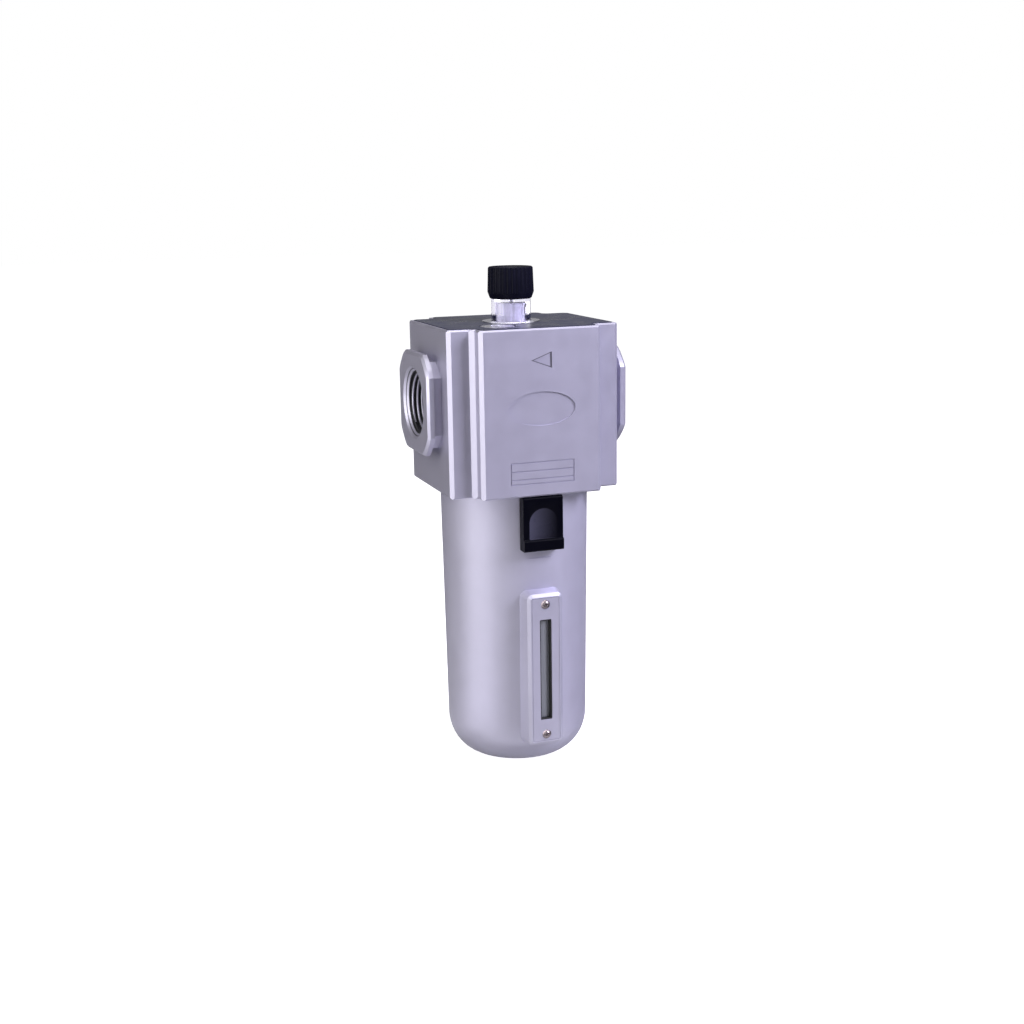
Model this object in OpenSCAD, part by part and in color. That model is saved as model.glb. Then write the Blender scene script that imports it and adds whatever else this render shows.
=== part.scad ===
// A compressed-air line lubricator: a die-cast body with two threaded ports, an oil bowl on a
// bayonet, a sight dome with a needle valve under the knob, and a level gauge in the bowl.
// Sizes are in millimetres. The frame's origin is the centre of the inlet port's thread, where
// the chamfer of its mouth ends; +X points out of that port and +Z points up.

/* [Body] */
// Height of the cast body above the ports' axis
port_to_top = 37; // [36:0.5:47]
// Width between the two side faces
body_w = 86.5; // [84:0.5:92]
// Depth between the front and back panels
body_d = 83.4; // [82.4:0.2:90]
// Width of the raised front and back panels
panel_w = 61.2; // [56:0.4:64]
// Step from a panel's face back to the shoulder beside it
shoulder_step = 9.2; // [7:0.2:11]
// Chamfer on the outer upright edges
upright_chamfer = 1.8; // [1:0.2:2.6]
// Chamfer in the inner corner between panel and shoulder
step_chamfer = 2.2; // [1.4:0.2:3]
// Chamfer round the top and bottom rims
rim_chamfer = 0.8; // [0.4:0.1:1.2]

/* [Ports] */
// Height of the port axis above the body's underside
port_h = 43; // [42:0.5:44]
// Reach of each port face from the bowl's axis
port_reach = 51.25; // [49:0.25:55]
// Inside radius of the port thread
port_bore_r = 15.15; // [13:0.05:15.6]
// Depth of the threaded bore
port_bore_depth = 19; // [16:0.5:20]
// Depth of the chamfer at the port's mouth
port_mouth = 2.5; // [1.5:0.1:3]
// Width of the port flange across its flats
flange_w = 48.8; // [46:0.2:52]
// Thickness of the port flange
flange_t = 3.4; // [2.4:0.2:4.6]
// Cut across each corner of the port flange
flange_corner = 9; // [6:0.5:11]
// Width of the neck behind the port flange
port_neck_w = 41.5; // [40:0.5:44]
// Radius of the flow passage between the ports
passage_r = 12.5; // [11.5:0.1:12.6]

/* [Top] */
// Thickness of the top cover
cover_t = 2.3; // [2:0.1:3]
// Width of the body's rim left round the top cover
cover_inset = 1.7; // [1.2:0.1:2.4]
// Outside radius of the ring that clamps the sight dome
ring_r = 14.4; // [13.8:0.1:15]
// Outside radius of the sight dome
dome_r = 9.8; // [9.4:0.1:10.2]
// Height of the clear dome that shows above the cover
dome_show = 11; // [9:0.1:12]
// Radius of the filler plug's head
plug_r = 8.5; // [8.2:0.1:9]
// Filler plug's place to the outlet side of the bowl axis
plug_x = 15.4; // [14.8:0.1:16]
// Filler plug's place in front of the bowl axis, as a share of the body's depth
plug_y_share = 0.285; // [0.28:0.005:0.3]

/* [Knob] */
// Height of the knob
knob_h = 15.2; // [14:0.2:20]
// Radius of the knob at its widest
knob_r = 11.4; // [11:0.1:12.4]
// Radius of the knob at its top
knob_top_r = 11; // [10.6:0.1:11.1]
// Height of the tapered foot under the knob's grip
knob_foot_h = 3; // [2:0.2:4]

/* [Bowl] */
// Outside radius of the bowl at its top
bowl_r = 37; // [36.2:0.1:37.4]
// Outside radius of the bowl above its round bottom
bowl_low_r = 35.6; // [35:0.1:36]
// Depth of the bowl below the body
bowl_depth = 141; // [138:1:190]
// Height of the bowl's round bottom corner
bottom_rise = 19.9; // [15:0.5:21]
// Reach of the bowl's round bottom corner
bottom_run = 16.4; // [12:0.4:20]
// Crown of the bowl's bottom
bottom_crown = 0.6; // [0.3:0.1:1.5]
// Thickness of the bowl's wall
bowl_wall = 3.6; // [3:0.1:3.8]
// Turn of the bayonet, in degrees
bayonet_turn = 45; // [40:1:45]

/* [Lock button] */
// Width of the lock button
button_w = 20.4; // [19:0.2:21]
// Height of the lock button
button_h = 26.6; // [26:0.2:30]
// Height of the lip at the button's lower end
button_lip_h = 5.9; // [4.5:0.1:6.5]
// Travel of the lock button
button_travel = 4; // [3.6:0.1:4.4]

/* [Level gauge] */
// Width of the gauge pad at its front
pad_w = 17.8; // [17:0.2:20]
// Height of the pad past each gauge screw
pad_end = 5.1; // [4.6:0.1:6]
// Width of the window
window_w = 6.1; // [5:0.1:6.4]
// Height of the window
window_h = 51.4; // [40:0.4:54]
// Distance of each gauge screw from the window's end
screw_out = 7.6; // [6.8:0.1:8.4]
// Depth of the window's centre below the body
gauge_drop = 86.8; // [86:0.2:90]

/* [Hidden] */
$fn = 96;
// Sides of a cord's round section, and of the circles inside a hull
cord_sides = 32;

// Overrun of every cut past the face that it opens
overrun = 1;
// Clearance all round a piece that slides or lies loose in another
slide_gap = 0.3;
// Clearance round a piece that is pressed, glued or screwed into its seat
seat_gap = 0.05;
// Clearance round a piece that turns in its bore
turn_gap = 0.1;

// Body sections
body_h = port_h + port_to_top;
shoulder_y = body_d / 2 - shoulder_step;
port_neck_corner = 7;
flange_edge = 1.2;
flange_round_r = 28.3;
// Ratio of a 45 degree cut's span to its two legs
diagonal_share = sqrt(2);

// Top cover and its recess
recess_depth = 2;
cover_gap = 0.15;
recess_z = body_h - recess_depth;
cover_top_z = recess_z + cover_t;
peg_r = 1.5;
peg_len = 4;
peg_in = 5;
peg_x = body_w / 2 - cover_inset - peg_in;
peg_y = shoulder_y - cover_inset - peg_in;

// Sight dome and the parts inside it
ring_proud = 0.3;
ring_bore_gap = 0.13;
dome_flange_r = 12.9;
dome_flange_t = 2.5;
dome_wall = 1.9;
dome_roof_t = 1.4;
dome_seat_depth = 5.4;
dome_seat_z = recess_z - dome_seat_depth;
dome_top_z = cover_top_z + dome_show;
dome_bore_r = dome_r - dome_wall;
dome_roof_z = dome_top_z - dome_roof_t;
dome_neck_r = 6;
dome_neck_h = 8;
dome_neck_z = dome_top_z + dome_neck_h;
seal_cord_r = 0.65;
dome_seal_r = 10.9;
core_base_r = 7.4;
core_base_h = 6.6;
core_post_r = 7.2;
core_top_gap = 0.4;
core_z = dome_seat_z - core_base_h;
core_top_z = dome_roof_z - core_top_gap;
core_flutes = 10;
core_flute_r = 1.5;
core_flute_out = 1.1;
core_flute_foot = 0.5;
core_valve_h = 3;
core_channel_r = 2.4;
oil_bore_r = 0.7;
drain_r = 1.2;
drain_x = 5.8;
nozzle_x = 6.3;
nozzle_turn = -32;
nozzle_r = 0.9;
nozzle_bore_r = 0.4;
nozzle_knee_r = 1.35;
nozzle_drop = 4;
nozzle_in = 1.6;

// Needle valve
needle_stem_r = 1.05;
needle_bore_r = needle_stem_r + turn_gap;
needle_tip_r = 0.2;
needle_tip_len = 2;
needle_tip_in = 1.4;
needle_thread_r = 2.4;
needle_thread_h = 5;
needle_drive_r = 1.5;
needle_seal_cord_r = 0.74;
needle_seal_r = needle_stem_r + needle_seal_cord_r;
needle_pocket_h = 1.6;
valve_seat_z = core_top_z - core_valve_h;
nozzle_z = valve_seat_z + core_valve_h / 2;

// Knob
knob_gap = 0.3;
knob_z = dome_top_z + knob_gap;
knob_top_z = knob_z + knob_h;
knob_foot_r = 10.3;
knob_edge = 0.6;
flute_count = 30;
flute_r = 1;
flute_depth = 0.3;
knob_dish_r = 9.2;
knob_dish_depth = 0.5;
knob_roof_gap = 0.6;
knob_cup_z = dome_neck_z + knob_roof_gap;
knob_socket_depth = 4.4;
needle_top_z = knob_cup_z + knob_socket_depth - needle_tip_len;

// Filler plug
plug_y = body_d * plug_y_share;
plug_seal_cord_r = 0.87;
plug_shank_r = 6;
plug_seal_r = plug_shank_r + plug_seal_cord_r + slide_gap / 2;
plug_head_t = 5.2;
plug_shank_len = 9;
plug_hex_r = 3.6;
plug_hex_depth = 3.4;
plug_edge = 0.5;
plug_under_z = cover_top_z - plug_head_t;
plug_seat_z = plug_under_z - 2 * plug_seal_cord_r - seat_gap / 2;

// Socket for the bowl's neck
lip_h = 7;
lug_room_h = 6;
neck_room_h = 8;
bowl_shoulder_w = 1.9;
socket_gap = 0.2;
lug_reach = 2.7;
neck_r = bowl_r - bowl_shoulder_w;
socket_r = neck_r + socket_gap;
lug_r = neck_r + lug_reach;
lug_room_r = lug_r + slide_gap;
socket_z = lip_h + lug_room_h + neck_room_h;
lug_count = 4;
lug_angle = 30;
entry_angle = 34;

// Oil riser, ball check and air bleed
riser_y = 20;
tube_r = 3;
tube_wall = 1.5;
tube_seat_depth = 7;
riser_r = 1.2;
ball_r = 2;
ball_lift = 1.2;
ball_room_r = ball_r + slide_gap;
tube_top_z = socket_z + tube_seat_depth;
tube_bore_r = tube_r - tube_wall;
ball_z = tube_top_z + sqrt(ball_r * ball_r - tube_bore_r * tube_bore_r) + seat_gap;
ball_room_z = ball_z + ball_r + ball_lift + seat_gap;
gallery_z = core_z + core_base_h / 2;
bleed_r = 1.2;
bleed_x = 17;

// Venturi post and damper flap in the flow passage
post_r = 5.5;
post_seat = 3;
throat_r = 1.6;
throat_flare = 2.6;
drip_bore_r = 1.2;
flap_pin_r = 1;
flap_pin_x = 9.2;
flap_pin_rise = 8.2;
flap_lug_w = 5;
flap_lug_r = 2.1;
flap_t = 1.4;
flap_w = 15;
flap_drop = 17.2;
flap_corner = 4;
flap_knuckle_w = 2.8;
post_foot_z = port_h - passage_r - post_seat;
post_top_z = port_h + passage_r + post_seat;
flap_pin_len = flap_lug_w + 2 * slide_gap + 2 * flap_knuckle_w;

// Bowl
bowl_gap = 0.3;
neck_wall = 4.9;
neck_top_gap = 1.2;
lug_h = 4.7;
bowl_seal_cord_r = 1.3;
bowl_seal_z = 16;
bowl_seal_r = socket_r - seat_gap - bowl_seal_cord_r;
groove_r = bowl_seal_r - bowl_seal_cord_r;
groove_w = 2 * bowl_seal_cord_r + slide_gap;
neck_top_z = socket_z - neck_top_gap;
neck_bore_r = neck_r - neck_wall;
neck_blend = 9;
corner_steps = 12;
crown_steps = 5;

// Siphon filter
filter_r = 4.5;
filter_h = 11;
filter_clear = 2.4;
filter_cup = 4;
filter_z = -bowl_depth + bowl_wall + filter_clear;

// Lock button, its rail on the bowl and its notch in the body
button_back_gap = 0.3;
button_reach = 5.5;
button_lip_reach = 1.2;
button_edge = 0.7;
button_top_gap = 0.3;
land_depth = 1.1;
land_y = bowl_r - land_depth;
button_back_y = land_y + button_back_gap;
button_front_y = button_back_y + button_reach;
rail_stem_w = 6;
rail_head_w = 10;
rail_stem_t = 1.1;
rail_head_t = 1.5;
rail_h = 13;
rail_drop = 12;
slot_roof = 1.4;
tongue_w = 16;
tongue_t = 2;
tongue_rise = 2.4;
tongue_in = 0.3;
tongue_r = sqrt(pow(button_back_y + tongue_in + tongue_t, 2) + pow(tongue_w / 2, 2));
notch_r = tongue_r + slide_gap;
notch_h = tongue_rise + slide_gap;
notch_end_angle = 2;
notch_half_angle = atan(tongue_w / 2 / (button_back_y + tongue_in)) + notch_end_angle;
land_end_gap = 0.8;
land_h = button_top_gap + button_h + button_travel + land_end_gap;
dish_r = 7.3;
dish_depth = 1.2;
dish_sphere_r = (dish_r * dish_r + dish_depth * dish_depth) / (2 * dish_depth);
dish_drop = 13.1;

// Lock spring between the rail and the roof of the button's slot
spring_gap = 0.2;
spring_wire_r = 0.22;
spring_r = 0.7;
spring_turns = 7;
spring_steps = 14;
spring_sides = 6;

// Level gauge
pad_front_y = 43.2;
pad_back_y = 33.4;
pad_corner = 2.6;
pad_edge = 1.3;
pad_draft_share = 0.17;
pad_skin = 0.01;
plate_border = 1.8;
plate_t = 3;
plate_corner = 0.9;
window_corner = 0.5;
glass_rim = 1.7;
glass_t = 3.2;
glass_crown = 0.6;
gasket_t = 0.9;
screw_r = 1.25;
screw_len = 6.5;
screw_head_r = 2.3;
screw_head_t = 1.3;
screw_slot_w = 0.7;
screw_slot_depth = 0.6;
screw_span = window_h + 2 * screw_out;
pad_h = screw_span + 2 * pad_end;
plate_w = pad_w - 2 * plate_border;
plate_h = pad_h - 2 * plate_border;
glass_w = window_w + 2 * glass_rim;
glass_h = window_h + 2 * glass_rim;
glass_front_y = pad_front_y - plate_t;
gasket_front_y = glass_front_y - glass_t;
pocket_y = gasket_front_y - gasket_t;

// Marks on the front panel
mark_depth = 0.7;
arrow_tip_x = 5.4;
arrow_tail_x = 5.2;
arrow_half_h = 3.9;
arrow_drop = 14.9;
arrow_z = body_h - arrow_drop;
oval_x = 17;
oval_z = 8.1;
oval_drop = 0.8;
oval_mid_z = port_h - oval_drop;
field_w = 32.4;
field_h = 10.8;
field_mid_z = 11.6;
field_line = 0.5;
field_depth = 0.45;
field_row_shares = [0.6, 0.23];
oval_points = 60;

// Puts a piece that is drawn about the bowl's axis, from the body's underside, into the frame
module placed() {
    translate([port_mouth - port_reach, 0, -port_h]) children();
}

// Puts a piece that is drawn along +Z on a port's axis, with the port's face at zero
module at_port(side) {
    translate([side * port_reach, 0, port_h]) rotate([0, side * 90, 0]) children();
}

// Turns a front view, drawn in X and Z, to face forward; z becomes the distance in front
module facing_front() {
    rotate([90, 0, 0]) children();
}

// A rectangle on the origin with its corners cut at 45 degrees
module cut_rect(w, d, c) {
    polygon([
        [-w / 2 + c, -d / 2], [w / 2 - c, -d / 2], [w / 2, -d / 2 + c], [w / 2, d / 2 - c],
        [w / 2 - c, d / 2], [-w / 2 + c, d / 2], [-w / 2, d / 2 - c], [-w / 2, -d / 2 + c]
    ]);
}

// A rectangle on the origin with round corners
module round_rect(w, h, r) {
    square([w - 2 * r, h], center = true);
    square([w, h - 2 * r], center = true);
    for (x = [-1, 1], y = [-1, 1]) {
        translate([x * (w / 2 - r), y * (h / 2 - r)]) circle(r);
    }
}

// A pie slice that opens about the direction mid, in degrees
module slice(r, h, mid, opening) {
    rotate([0, 0, mid - opening / 2]) rotate_extrude(angle = opening) square([r, h]);
}

// A round cord bent into a ring
module cord_ring(ring, cord) {
    rotate_extrude() translate([ring, 0]) circle(cord, $fn = cord_sides);
}

// A block with chamfered uprights and chamfered rims
module rimmed_block(w, d, h, corner, rim) {
    intersection() {
        linear_extrude(h) cut_rect(w, d, corner);
        translate([0, d / 2, h / 2]) rotate([90, 0, 0]) linear_extrude(d) cut_rect(w, h, rim);
        translate([-w / 2, 0, h / 2]) rotate([90, 0, 90]) linear_extrude(w) cut_rect(d, h, rim);
    }
}

// The body's plan, drawn in from its outline
module body_plan(inset) {
    cut_rect(body_w - 2 * inset, 2 * (shoulder_y - inset), upright_chamfer);
    cut_rect(panel_w - 2 * inset, body_d - 2 * inset, upright_chamfer);
    cut_rect(panel_w + 2 * (step_chamfer - inset), 2 * (shoulder_y + step_chamfer - inset),
        step_chamfer);
}

// The body's main block with its front and back panels
module body_block() {
    rimmed_block(body_w, 2 * shoulder_y, body_h, upright_chamfer, rim_chamfer);
    rimmed_block(panel_w, body_d, body_h, upright_chamfer, rim_chamfer);
    rimmed_block(panel_w + 2 * step_chamfer, 2 * (shoulder_y + step_chamfer), body_h,
        step_chamfer, rim_chamfer);
}

// A square flange with cut and eased corners, up to zero; its front edges are broken
module port_flange() {
    diagonal_w = (flange_w - flange_corner) * diagonal_share;
    intersection() {
        flange_bar(0, flange_w);
        flange_bar(90, flange_w);
        flange_bar(45, diagonal_w);
        flange_bar(135, diagonal_w);
        translate([0, 0, -flange_t]) union() {
            cylinder(h = flange_t - flange_edge, r = flange_round_r);
            translate([0, 0, flange_t - flange_edge])
                cylinder(h = flange_edge, r1 = flange_round_r, r2 = flange_round_r - flange_edge);
        }
    }
}

// A bar across the flange whose two front edges are broken
module flange_bar(turn, w) {
    rotate([0, 0, turn]) translate([0, flange_w, 0]) rotate([90, 0, 0]) linear_extrude(2 * flange_w)
        polygon([
            [-w / 2, -flange_t], [w / 2, -flange_t], [w / 2, -flange_edge], [w / 2 - flange_edge, 0],
            [-w / 2 + flange_edge, 0], [-w / 2, -flange_edge]
        ]);
}

// One port: the flange and the neck that joins it to the body
module port_boss(side) {
    neck_len = port_reach - body_w / 2 - flange_t;
    at_port(side) {
        port_flange();
        translate([0, 0, -flange_t - neck_len - overrun])
            linear_extrude(neck_len + 2 * overrun) cut_rect(port_neck_w, port_neck_w, port_neck_corner);
    }
}

// The two threaded bores and the passage between them
module flow_passage() {
    for (side = [-1, 1]) at_port(side) {
        translate([0, 0, -port_bore_depth]) cylinder(h = port_bore_depth + overrun, r = port_bore_r);
        translate([0, 0, -port_mouth]) cylinder(h = port_mouth + overrun, r1 = port_bore_r,
            r2 = port_bore_r + port_mouth + overrun);
    }
    at_port(1) translate([0, 0, -2 * port_reach]) cylinder(h = 2 * port_reach, r = passage_r);
    translate([0, 0, post_foot_z]) cylinder(h = core_z - post_foot_z + overrun, r = post_r + seat_gap);
    translate([bleed_x, 0, socket_z - overrun]) cylinder(h = port_h - socket_z, r = bleed_r);
}

// The socket for the bowl's neck: bore, lug room, entry slots and the lock's notch
module bowl_socket() {
    translate([0, 0, -overrun]) cylinder(h = socket_z + overrun, r = socket_r);
    translate([0, 0, lip_h]) cylinder(h = lug_room_h, r = lug_room_r);
    for (i = [0 : lug_count - 1]) translate([0, 0, -overrun])
        slice(lug_room_r, lip_h + 2 * overrun, bayonet_turn + i * 360 / lug_count, entry_angle);
    translate([0, 0, -overrun])
        slice(notch_r, notch_h + overrun, -90 + bayonet_turn / 2, bayonet_turn + 2 * notch_half_angle);
}

// The stepped bore under the sight dome, with the seal's groove
module dome_bore() {
    translate([0, 0, dome_seat_z]) cylinder(h = body_h, r = ring_r + seat_gap);
    translate([0, 0, core_z]) cylinder(h = body_h, r = core_base_r + seat_gap);
    translate([0, 0, dome_seat_z - 2 * seal_cord_r]) difference() {
        cylinder(h = body_h, r = dome_seal_r + seal_cord_r + seat_gap);
        translate([0, 0, -overrun])
            cylinder(h = body_h + 2 * overrun, r = dome_seal_r - seal_cord_r - seat_gap);
    }
}

// The oil's way up: tube seat, ball room, riser and gallery to the dome's core
module oil_riser() {
    translate([0, riser_y, 0]) {
        translate([0, 0, socket_z - overrun])
            cylinder(h = tube_seat_depth + overrun, r = tube_r + seat_gap);
        translate([0, 0, tube_top_z - overrun])
            cylinder(h = ball_room_z - tube_top_z + overrun, r = ball_room_r);
        translate([0, 0, ball_room_z - overrun])
            cylinder(h = gallery_z - ball_room_z + riser_r + overrun, r = riser_r);
        translate([0, 0, gallery_z]) rotate([90, 0, 0])
            cylinder(h = riser_y - core_base_r + overrun, r = riser_r);
    }
}

// The filler hole with the counterbore for the plug's head
module filler_bore() {
    translate([-plug_x, -plug_y, 0]) {
        translate([0, 0, socket_z - overrun]) cylinder(h = body_h, r = plug_shank_r + turn_gap);
        translate([0, 0, plug_seat_z]) cylinder(h = body_h, r = plug_r + slide_gap);
    }
}

// The recess in the body's top for the cover, and its peg holes
module cover_recess() {
    translate([0, 0, recess_z]) linear_extrude(recess_depth + overrun) body_plan(cover_inset);
    cover_pegs(peg_r + seat_gap, peg_len + seat_gap);
}

// The flow arrow, the bare oval and the bare ruled field on the front panel
module panel_marks() {
    translate([0, -body_d / 2 + mark_depth, 0]) facing_front() linear_extrude(mark_depth + overrun) {
        polygon([[-arrow_tip_x, arrow_z], [arrow_tail_x, arrow_z - arrow_half_h],
            [arrow_tail_x, arrow_z + arrow_half_h]]);
        polygon([for (i = [0 : oval_points - 1])
            [oval_x * cos(i * 360 / oval_points), oval_mid_z + oval_z * sin(i * 360 / oval_points)]]);
    }
    translate([0, -body_d / 2 + field_depth, field_mid_z]) facing_front()
        linear_extrude(field_depth + overrun) {
        difference() {
            square([field_w, field_h], center = true);
            square([field_w - 2 * field_line, field_h - 2 * field_line], center = true);
        }
        for (share = field_row_shares) translate([0, field_h * (share - 1 / 2)])
            square([field_w - field_line, field_line], center = true);
    }
}

module body() {
    color("silver") placed() difference() {
        union() {
            body_block();
            for (side = [-1, 1]) port_boss(side);
        }
        bowl_socket();
        flow_passage();
        dome_bore();
        oil_riser();
        filler_bore();
        cover_recess();
        panel_marks();
    }
}

// The four pegs under the cover, or the holes for them
module cover_pegs(r, len) {
    for (x = [-1, 1], y = [-1, 1]) translate([x * peg_x, y * peg_y, recess_z - len])
        cylinder(h = len + seat_gap, r = r);
}

module top_cover() {
    color("dimgray") placed() difference() {
        union() {
            translate([0, 0, recess_z]) linear_extrude(cover_t) body_plan(cover_inset + cover_gap);
            cover_pegs(peg_r, peg_len);
        }
        translate([0, 0, recess_z - overrun])
            cylinder(h = cover_t + 2 * overrun, r = ring_r + cover_gap);
        translate([-plug_x, -plug_y, recess_z - overrun])
            cylinder(h = cover_t + 2 * overrun, r = plug_r + slide_gap);
    }
}

module dome_ring() {
    ring_z = dome_seat_z + dome_flange_t + seat_gap;
    ring_h = cover_top_z + ring_proud - ring_z;
    color("gainsboro") placed() translate([0, 0, ring_z]) difference() {
        union() {
            cylinder(h = ring_h - ring_proud, r = ring_r);
            translate([0, 0, ring_h - ring_proud])
                cylinder(h = ring_proud, r1 = ring_r, r2 = ring_r - ring_proud);
        }
        translate([0, 0, -overrun]) cylinder(h = ring_h + 2 * overrun, r = dome_r + ring_bore_gap);
    }
}

module sight_dome() {
    color("lavender", 0.5) placed() difference() {
        union() {
            translate([0, 0, dome_seat_z]) cylinder(h = dome_flange_t, r = dome_flange_r);
            translate([0, 0, dome_seat_z]) cylinder(h = dome_top_z - dome_seat_z, r = dome_r);
            translate([0, 0, dome_top_z - overrun])
                cylinder(h = dome_neck_h + overrun, r = dome_neck_r);
        }
        translate([0, 0, dome_seat_z - overrun])
            cylinder(h = dome_roof_z - dome_seat_z + overrun, r = dome_bore_r);
        translate([0, 0, dome_roof_z - overrun]) cylinder(h = dome_neck_h, r = needle_bore_r);
        translate([0, 0, dome_top_z]) cylinder(h = needle_pocket_h,
            r = needle_seal_r + needle_seal_cord_r + seat_gap);
        translate([0, 0, dome_top_z + needle_pocket_h - seat_gap])
            cylinder(h = dome_neck_h, r = needle_thread_r + turn_gap);
    }
}

module dome_seal() {
    color("black") placed()
        translate([0, 0, dome_seat_z - seal_cord_r]) cord_ring(dome_seal_r, seal_cord_r);
}

module drip_core() {
    color("white") placed() difference() {
        union() {
            translate([0, 0, core_z]) cylinder(h = core_base_h, r = core_base_r);
            translate([0, 0, core_z]) cylinder(h = core_top_z - core_z, r = core_post_r);
        }
        rotate([0, 0, nozzle_turn]) core_side_cuts();
        translate([0, 0, gallery_z]) cylinder(h = core_top_z, r = oil_bore_r);
        translate([0, 0, gallery_z]) rotate([-90, 0, 0])
            cylinder(h = core_base_r + overrun, r = riser_r);
        translate([0, 0, valve_seat_z]) cylinder(h = core_valve_h + overrun, r = needle_bore_r);
    }
}

// The core's drip channel with the nozzle's seat and the drain, and the flutes round the rest
module core_side_cuts() {
    flute_z = core_z + core_base_h + core_flute_foot;
    translate([nozzle_x, 0, flute_z]) cylinder(h = core_top_z, r = core_channel_r);
    for (i = [1 : core_flutes - 1]) rotate([0, 0, i * 360 / core_flutes])
        translate([core_post_r + core_flute_out, 0, flute_z])
            cylinder(h = core_top_z, r = core_flute_r);
    translate([0, 0, nozzle_z]) rotate([0, 90, 0]) cylinder(h = nozzle_x, r = oil_bore_r);
    translate([nozzle_x - core_channel_r - nozzle_in, 0, nozzle_z]) rotate([0, 90, 0])
        cylinder(h = nozzle_x, r = nozzle_r + seat_gap);
    translate([drain_x, 0, core_z - overrun]) cylinder(h = core_base_h + 2 * overrun, r = drain_r);
}

// A bent tube: out of the core, round a knee and down
module drip_nozzle() {
    stub = core_channel_r + nozzle_in - seat_gap;
    color("dimgray") placed() rotate([0, 0, nozzle_turn]) translate([nozzle_x, 0, nozzle_z])
        difference() {
        union() {
            sphere(nozzle_knee_r);
            translate([-stub, 0, 0]) rotate([0, 90, 0]) cylinder(h = stub, r = nozzle_r);
            translate([0, 0, -nozzle_drop]) cylinder(h = nozzle_drop, r = nozzle_r);
        }
        translate([-stub - overrun, 0, 0]) rotate([0, 90, 0])
            cylinder(h = stub + overrun + nozzle_bore_r, r = nozzle_bore_r);
        translate([0, 0, -nozzle_drop - overrun])
            cylinder(h = nozzle_drop + overrun, r = nozzle_bore_r);
    }
}

module knob() {
    flute_z = knob_z + knob_foot_h;
    flute_h = knob_top_z - knob_edge - flute_z;
    flute_lean = atan((knob_r - knob_top_r) / flute_h);
    color("black") placed() difference() {
        rotate_extrude() polygon([
            [0, knob_z], [knob_foot_r, knob_z], [knob_r, flute_z],
            [knob_top_r, knob_top_z - knob_edge], [knob_top_r - knob_edge, knob_top_z], [0, knob_top_z]
        ]);
        for (i = [0 : flute_count - 1]) rotate([0, 0, i * 360 / flute_count])
            translate([knob_r + flute_r - flute_depth, 0, flute_z]) rotate([0, -flute_lean, 0])
                translate([0, 0, -knob_h]) cylinder(h = 2 * knob_h, r = flute_r);
        translate([0, 0, knob_top_z - knob_dish_depth])
            cylinder(h = knob_dish_depth + overrun, r = knob_dish_r);
        translate([0, 0, knob_z - overrun])
            cylinder(h = knob_cup_z - knob_z + overrun, r = dome_neck_r + turn_gap);
        translate([0, 0, knob_cup_z - overrun])
            cylinder(h = knob_socket_depth + overrun, r = needle_drive_r + turn_gap);
    }
}

module needle() {
    thread_z = dome_top_z + needle_pocket_h + slide_gap;
    tip_z = valve_seat_z + seat_gap;
    color("goldenrod") placed() rotate_extrude() polygon([
        [0, tip_z - needle_tip_in], [needle_tip_r, tip_z - needle_tip_in],
        [oil_bore_r - turn_gap, tip_z], [needle_stem_r, tip_z + needle_tip_len - needle_tip_in],
        [needle_stem_r, thread_z], [needle_thread_r, thread_z],
        [needle_thread_r, thread_z + needle_thread_h], [needle_drive_r, thread_z + needle_thread_h],
        [needle_drive_r, needle_top_z], [0, needle_top_z]
    ]);
}

module needle_seal() {
    color("black") placed() translate([0, 0, dome_top_z + needle_seal_cord_r])
        cord_ring(needle_seal_r + seat_gap / 2, needle_seal_cord_r);
}

module filler_plug() {
    color("gainsboro") placed() translate([-plug_x, -plug_y, 0]) difference() {
        union() {
            translate([0, 0, plug_under_z]) cylinder(h = plug_head_t - plug_edge, r = plug_r);
            translate([0, 0, cover_top_z - plug_edge])
                cylinder(h = plug_edge, r1 = plug_r, r2 = plug_r - plug_edge);
            translate([0, 0, plug_seat_z - plug_shank_len])
                cylinder(h = plug_under_z - plug_seat_z + plug_shank_len, r = plug_shank_r);
        }
        translate([0, 0, cover_top_z - plug_hex_depth])
            cylinder(h = plug_hex_depth + overrun, r = plug_hex_r, $fn = 6);
    }
}

module filler_seal() {
    color("black") placed() translate([-plug_x, -plug_y, plug_under_z - plug_seal_cord_r])
        cord_ring(plug_seal_r, plug_seal_cord_r);
}

module venturi_post() {
    pin_z = port_h + flap_pin_rise;
    color("whitesmoke") placed() difference() {
        union() {
            translate([0, 0, post_foot_z]) cylinder(h = post_top_z - post_foot_z, r = post_r);
            translate([-flap_pin_x, flap_lug_w / 2, pin_z]) rotate([90, 0, 0])
                cylinder(h = flap_lug_w, r = flap_lug_r);
            translate([-flap_pin_x, -flap_lug_w / 2, pin_z - flap_lug_r])
                cube([flap_pin_x, flap_lug_w, 2 * flap_lug_r]);
        }
        translate([0, 0, port_h]) cylinder(h = post_top_z, r = drip_bore_r);
        translate([-post_r - overrun, 0, port_h]) rotate([0, 90, 0])
            cylinder(h = 2 * (post_r + overrun), r = throat_r);
        for (side = [-1, 1]) translate([0, 0, port_h]) rotate([0, side * 90, 0])
            translate([0, 0, post_r - throat_flare])
                cylinder(h = throat_flare + overrun, r1 = throat_r,
                    r2 = throat_r + throat_flare + overrun);
        translate([-flap_pin_x, flap_lug_w, pin_z]) rotate([90, 0, 0])
            cylinder(h = 2 * flap_lug_w, r = flap_pin_r);
    }
}

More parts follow.
